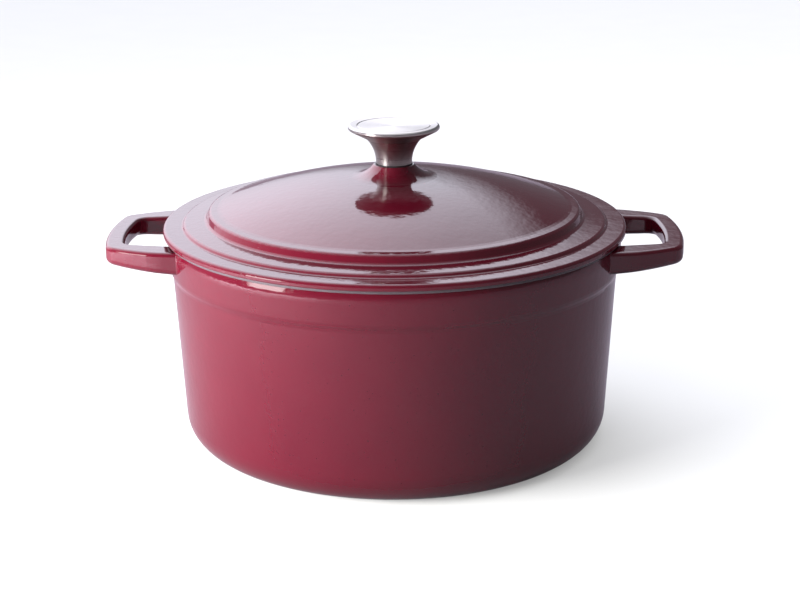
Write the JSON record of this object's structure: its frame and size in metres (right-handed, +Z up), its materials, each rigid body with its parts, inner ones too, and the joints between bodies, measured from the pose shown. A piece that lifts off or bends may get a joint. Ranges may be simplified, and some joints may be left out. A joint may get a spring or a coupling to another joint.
{
  "type": "dutch oven",
  "caption": "Round enamelled cast iron dutch oven with two cast loop handles and a stepped, domed lid that lifts off by a flared steel knob.",
  "frame": {"origin": "middle of the flat base, on the surface the pot stands on", "axes": "+Z up along the axis of the pot and lid, +X through the middle of the right-hand loop handle"},
  "size_m": [0.3272, 0.2626, 0.1819],
  "materials": {
    "pot_enamel": "burgundy vitreous enamel, gloss, fired on cast iron; bare dark ground coat on the rim",
    "lid_enamel": "burgundy vitreous enamel, gloss, fired on cast iron",
    "knob_steel": "turned and brushed stainless steel",
    "gasket_rubber": "black heat-proof rubber",
    "washer_steel": "plain stainless steel",
    "spring_steel": "spring steel, dull",
    "screw_steel": "stainless machine screw"
  },
  "bodies": {
    "pot": {"pot": "pot_enamel"},
    "lid": {"lid": "lid_enamel", "knob": "knob_steel", "knob_gasket": "gasket_rubber", "flat_washer": "washer_steel", "spring_washer": "spring_steel", "knob_screw": "screw_steel"}
  },
  "joints": [
    {"name": "lid_lift", "type": "slide", "parent": "pot", "child": "lid", "axis": [0, 0, 1], "range_m": [0, 0.2]}
  ]
}
